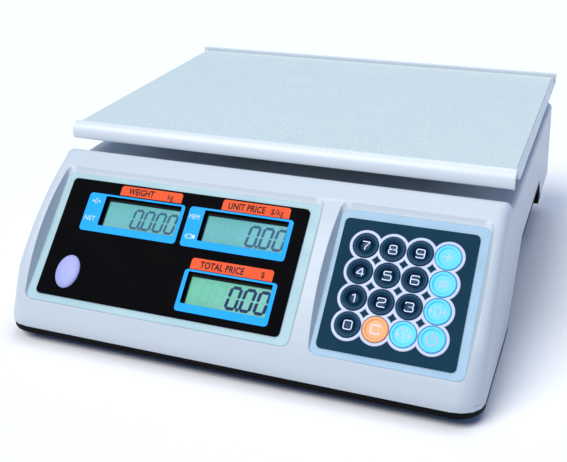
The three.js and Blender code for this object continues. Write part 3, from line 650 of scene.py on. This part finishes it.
def add_plug():
    """oval dome on a peg that goes through the panel"""
    left, low, right, high = panel_box("panel_plug")
    centre = Vector(((left + right) / 2, (low + high) / 2))
    foot, edge, top = PLUG_HEIGHTS
    angles = [math.pi / 2 * i / 10 for i in range(1, 10)]
    dome = [(0, foot), (1, foot), (1, edge)]
    dome += [(math.cos(a) ** 0.8, edge + (top - edge) * math.sin(a)) for a in angles]
    dome += [(0, top)]
    verts, faces = turned(dome, 64)
    half = ((right - left) / 2, (high - low) / 2)
    oval_dome = [(centre.x + x * half[0], centre.y + y * half[1], z) for x, y, z in verts]
    peg = turned([(0, -5), (2.5, -5), (2.9, -4.6), (2.9, 0.5), (0, 0.5)], 24, centre)
    piece("plug_dome", [(oval_dome, faces), peg], "plug",
          place=PANEL, replaces=["panel_plug"])


# ---- console: keys ----
KEY_NODES = sorted(n for n in nodes if n.startswith("key_"))
KEY_CENTRES = {n: TO_PANEL @ middle(n) for n in KEY_NODES}
KEY_RADIUS = (panel_box("key_5")[2] - panel_box("key_5")[0]) / 2
KEY_HEIGHT = 1.0
KEY_HOLE = KEY_RADIUS + 0.3
SIGN_SUNK, SIGN_RISE = 0.02, 0.14  # a sign's foot and top, below and above the face it is on
RINGS = {  # outer radius, how much wider than the key hole the inside is, bottom, top
    "key_rings": (11.35, 0.02, 0.0, 0.45),
    "key_ring_tops": (11.1, 0.2, 0.45, 0.56),
}
STROKES = {  # each sign's lines on a grid 1 wide and 1.1 high: (points, closed)
    "0": [([(0, 0), (1, 0), (1, 1.1), (0, 1.1)], True)],
    "1": [([(0.25, 0.85), (0.6, 1.1), (0.6, 0)], False)],
    "2": [([(0.02, 0.85), (0.02, 1.1), (0.98, 1.1), (0.98, 0.6), (0.02, 0.5), (0.02, 0), (1, 0)], False)],
    "3": [([(0, 0.9), (0, 1.1), (1, 1.1), (0.95, 0.57), (0.35, 0.57)], False),
          ([(0.35, 0.57), (1, 0.57), (1, 0), (0, 0), (0, 0.2)], False)],
    "4": [([(0.78, 0), (0.78, 1.1), (0, 0.3), (1.02, 0.3)], False)],
    "5": [([(0.95, 1.1), (0.05, 1.1), (0.03, 0.62), (1, 0.66), (1, 0), (0, 0), (0, 0.15)], False)],
    "6": [([(0.95, 0.95), (0.95, 1.1), (0, 1.1), (0, 0), (1, 0), (1, 0.62), (0.05, 0.62)], False)],
    "7": [([(0, 1.1), (1, 1.1), (0.45, 0.45), (0.4, 0)], False)],
    "8": [([(0.06, 0.58), (0.94, 0.58), (0.94, 1.1), (0.06, 1.1)], True),
          ([(0, 0), (1, 0), (1, 0.56), (0, 0.56)], True)],
    "9": [([(0.05, 0.15), (0.05, 0), (1, 0), (1, 1.1), (0, 1.1), (0, 0.48), (0.95, 0.48)], False)],
    "C": [([(1, 0.85), (1, 1.1), (0, 1.1), (0, 0), (1, 0), (1, 0.25)], False)],
}


def is_digit(name):
    return name.removeprefix("key_").isdigit()


def softened(points, radius, closed):
    """path with each corner turned into a short curve"""
    line = [Vector(p) for p in points]
    out = []
    for i, p in enumerate(line):
        if not closed and i in (0, len(line) - 1):
            out.append(tuple(p))
            continue
        before, after = line[i - 1], line[(i + 1) % len(line)]
        reach = min(radius, (before - p).length * 0.48, (after - p).length * 0.48)
        a, b = p + (before - p).normalized() * reach, p + (after - p).normalized() * reach
        for k in range(6):
            t = k / 5
            out.append(tuple(a * (1 - t) ** 2 + p * 2 * t * (1 - t) + b * t * t))
    return out


def key_glyph(name, low, high):
    """strokes of a key's sign about its centre, in mm"""
    sign = "C" if name == "key_clear" else name.removeprefix("key_")
    if sign in STROKES:
        width, tall, line = 5.6, 5.5, 0.8
        strokes = []
        for points, closed in STROKES[sign]:
            scaled = [((x - 0.5) * width, (y - 0.55) * tall) for x, y in points]
            strokes.append(ribbon(softened(scaled, 1.3, closed), line, low, high, closed))
        return strokes
    if name == "key_plus":
        return [ribbon(line, 0.75, low, high) for line in ([(-3.3, 0), (3.3, 0)], [(0, -3.3), (0, 3.3)])]
    if name == "key_hash":
        upright = [[(x - 0.6, -3.2), (x + 0.6, 3.2)] for x in (-1.3, 1.3)]
        level = [[(-3.4, y), (3.4, y)] for y in (-1.2, 1.2)]
        return [ribbon(line, 0.65, low, high) for line in upright + level]
    if name == "key_zero_set":
        return [ribbon(oval(0, 0, 2.1, 3.4), 0.7, low, high, True),
                *arrow(-3.2, 0, 1, 2.4, 0.6, low, high), *arrow(3.2, 0, -1, 2.4, 0.6, low, high)]
    if name == "key_tare":
        bar, stem = [(-2.7, 3.3), (2.7, 3.3)], [(0, 3.3), (0, -3.6)]
        return [ribbon(bar, 0.7, low, high), ribbon(stem, 0.7, low, high),
                *arrow(-2.5, -0.6, 1, 2.4, 0.6, low, high), *arrow(2.5, -0.6, -1, 2.4, 0.6, low, high)]
    turns = [math.radians(degrees) for degrees in range(-140, 141, 10)]
    bow = [(3.5 * math.sin(a), -3.5 * math.cos(a) - 0.3) for a in turns]
    return [ribbon(bow, 0.75, low, high), ribbon([(0, 0.2), (0, 4.6)], 0.75, low, high)]


def key_profile(digit):
    """profile of a key on its stem, and the height of the face that its sign is on"""
    outside = [(0, -5.6), (2.3, -5.6), (2.5, -5.4), (2.5, -0.1), (KEY_RADIUS - 0.2, -0.1),
               (KEY_RADIUS, 0.1), (KEY_RADIUS, 0.45), (KEY_RADIUS - 0.15, 0.75),
               (KEY_RADIUS - 0.45, 0.93), (KEY_RADIUS - 0.9, KEY_HEIGHT)]
    if digit:
        dish = [(KEY_RADIUS - 1.5, 0.96), (KEY_RADIUS - 2.0, 0.8), (KEY_RADIUS - 2.5, 0.35),
                (KEY_RADIUS - 2.9, 0.02), (KEY_RADIUS - 3.5, -0.1), (3, -0.12), (0, -0.12)]
        return outside + dish, -0.12
    dish = [(KEY_RADIUS - 2.0, 0.97), (KEY_RADIUS - 2.35, 0.82), (KEY_RADIUS - 2.6, 0.7),
            (KEY_RADIUS - 3.2, 0.72), (3, 0.66), (0, 0.64)]
    return outside + dish, 0.62


def key_finishes(name):
    """materials of a key's cap and of its sign"""
    if is_digit(name):
        return "key_digit", "glyph_light"
    if name == "key_clear":
        return "key_clear", "glyph_light"
    return "key_function", "glyph_power" if name == "key_power" else "glyph_cyan"


def add_keys():
    for name in KEY_NODES:
        centre = KEY_CENTRES[name]
        slot, sign_finish = key_finishes(name)
        profile, face = key_profile(is_digit(name))
        cap = turned(profile, 56, (centre.x, centre.y))
        piece(f"{name}_cap", [cap], slot, body=name, place=PANEL, replaces=[name], sharp=50)
        strokes = [([(x + centre.x, y + centre.y, z) for x, y, z in verts], faces)
                   for verts, faces in key_glyph(name, face - SIGN_SUNK, face + SIGN_RISE)]
        piece(f"{name}_sign", strokes, sign_finish, body=name, place=PANEL)


def add_keypad():
    """panel with a hole for each key, and the raised rings that run into each other round the keys"""
    centres = [(c.x, c.y) for c in KEY_CENTRES.values()]
    holes = [circle(*c, KEY_HOLE, 40) for c in centres]
    outline = rounded_loop(panel_box("keypad_panel"), PANEL_CORNER)
    piece("keypad_face", [flat([outline, *holes], -PANEL_THICK, 0)], "keypad_panel", place=PANEL,
          replaces=["keypad_panel"])

    def near(p, reach):
        return any((p[0] - x) ** 2 + (p[1] - y) ** 2 < reach * reach for x, y in centres)

    for name, (outer, widened, low, high) in RINGS.items():
        inner = KEY_HOLE + widened
        loops = [circle(*c, radius, 72) for radius in (outer, inner) for c in centres]
        rings = flat(loops, low, high, lambda p: near(p, outer) and not near(p, inner))
        piece(name, [rings], "ring", place=PANEL)


# ---- back of the base ----
DOOR_GRIP = 1.2  # how far the door's grip stands out of its face
RIDGE_HEIGHTS = (6.5, 9, 11.5, 14)  # above the door's lower edge
RIDGE_HALF_LENGTH, RIDGE_HALF_WIDTH = 11, 0.55
RIDGE_CORNER = 0.5
RIDGE_SPAN = (-0.1, 0.6)  # foot and top, from the door's face


def add_door_ridges():
    """finger ridges under the grip of the battery door"""
    low, high = (WORLD.inverted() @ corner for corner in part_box("battery_door"))
    face = high.y - DOOR_GRIP
    place = WORLD @ Matrix.Translation((0, face, 0)) @ Matrix.Rotation(math.radians(-90), 4, "X")
    centre = (low.x + high.x) / 2
    ridges = []
    for height in RIDGE_HEIGHTS:
        line = -(low.z + height)
        box = (centre - RIDGE_HALF_LENGTH, line - RIDGE_HALF_WIDTH,
               centre + RIDGE_HALF_LENGTH, line + RIDGE_HALF_WIDTH)
        ridges.append(flat([rounded_loop(box, RIDGE_CORNER, 4)], *RIDGE_SPAN))
    piece("battery_door_ridges", ridges, "base", body="battery_door", place=place)


# ---- CAD nodes that stay: finish and edge rounding ----
STAYS = {
    "case": ["upper_case"],
    "base": ["base_pan", "battery_door"],
    "inlet": ["mains_inlet"],
    "steel": ["foot_stud_*", "case_screw_*", "cell_bolt_*"],
    "rubber": ["foot_pad_*", "tray_pad_*"],
    "tray": ["tray_body"],
    "tray_sheet": ["tray_sheet"],
    "casting": ["tray_support", "load_cell", "cell_block", "cell_post"],
    "board": ["display_board", "keypad_board", "main_board"],
    "backlight": ["backlight"],
    "transformer": ["transformer"],
    "battery": ["battery"],
    "level": ["spirit_level"],
}


CRISP_ANGLE = 34  # degrees between faces from which an edge stays crisp
WELD_DISTANCE = 0.00002


def smoothing_group():
    """node group: points welded, faces smooth, the sharper edges kept crisp"""
    group = bpy.data.node_groups.new("smooth_faces", "GeometryNodeTree")
    group.interface.new_socket("Geometry", in_out="INPUT", socket_type="NodeSocketGeometry")
    group.interface.new_socket("Geometry", in_out="OUTPUT", socket_type="NodeSocketGeometry")
    start, end = group.nodes.new("NodeGroupInput"), group.nodes.new("NodeGroupOutput")
    weld = group.nodes.new("GeometryNodeMergeByDistance")
    weld.inputs["Distance"].default_value = WELD_DISTANCE
    bare = group.nodes.new("GeometryNodeRemoveAttribute")
    bare.inputs["Name"].default_value = "custom_normal"
    smooth = group.nodes.new("GeometryNodeSetShadeSmooth")
    smooth.domain = "FACE"
    angle = group.nodes.new("GeometryNodeInputMeshEdgeAngle")
    sharper = group.nodes.new("FunctionNodeCompare")
    sharper.operation = "GREATER_EQUAL"
    sharper.inputs[1].default_value = math.radians(CRISP_ANGLE)
    crisp = group.nodes.new("GeometryNodeSetShadeSmooth")
    crisp.domain = "EDGE"
    crisp.inputs["Shade Smooth"].default_value = False
    link = group.links.new
    link(start.outputs[0], bare.inputs["Geometry"])
    link(bare.outputs["Geometry"], weld.inputs["Geometry"])
    link(weld.outputs["Geometry"], smooth.inputs["Geometry"])
    link(smooth.outputs["Geometry"], crisp.inputs["Geometry"])
    link(angle.outputs["Unsigned Angle"], sharper.inputs[0])
    link(sharper.outputs["Result"], crisp.inputs["Selection"])
    link(crisp.outputs["Geometry"], end.inputs[0])
    return group


def finish_cad_nodes():
    group = smoothing_group()
    for slot, patterns in STAYS.items():
        for pattern in patterns:
            for name, obj in nodes.items():
                if name == pattern or pattern.endswith("*") and name.startswith(pattern[:-1]):
                    obj.data.materials.clear()
                    obj.data.materials.append(MATERIALS[slot])
                    modifier = obj.modifiers.new("smooth", "NODES")
                    modifier.node_group = group


scene.view_settings.view_transform = "Standard"
add_camera()
add_studio()
MATERIALS = make_materials()
add_display_panel()
add_bezels()
add_printed_frames()
add_small_marks()
add_displays()
add_plug()
add_keys()
add_keypad()
add_door_ridges()
finish_cad_nodes()
